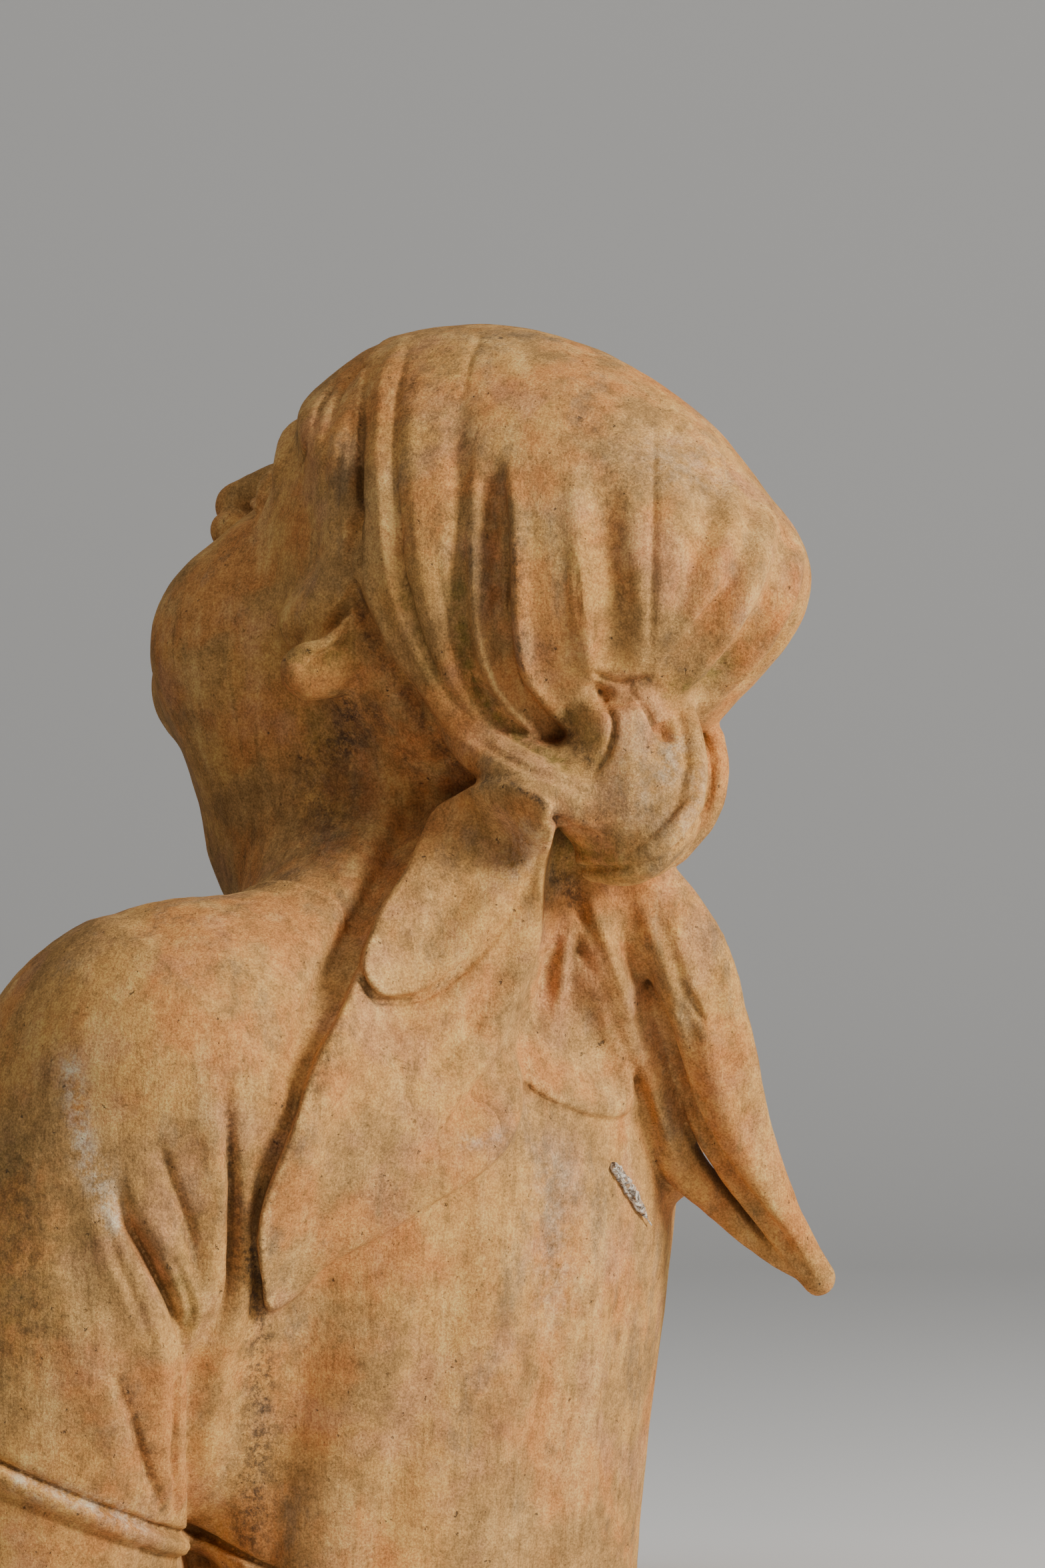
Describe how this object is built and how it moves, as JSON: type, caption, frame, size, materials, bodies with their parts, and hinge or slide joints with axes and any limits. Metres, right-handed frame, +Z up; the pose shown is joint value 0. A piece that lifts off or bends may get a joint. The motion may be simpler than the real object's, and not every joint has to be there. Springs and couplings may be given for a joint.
{
  "type": "terracotta half figure",
  "caption": "Life-size terracotta half figure of a girl with her head thrown back in a knotted headscarf, cut flat below the chest.",
  "frame": {"origin": "middle of the flat underside", "axes": "+Z up, -Y the way the girl faces, +X to her left"},
  "size_m": [0.3885, 0.3118, 0.4852],
  "materials": {
    "terracotta": "unglazed fired clay, matt and pitted, mottled from ochre to orange and grey-brown by weather"
  },
  "bodies": {
    "root": {"figure": "terracotta"}
  },
  "joints": []
}
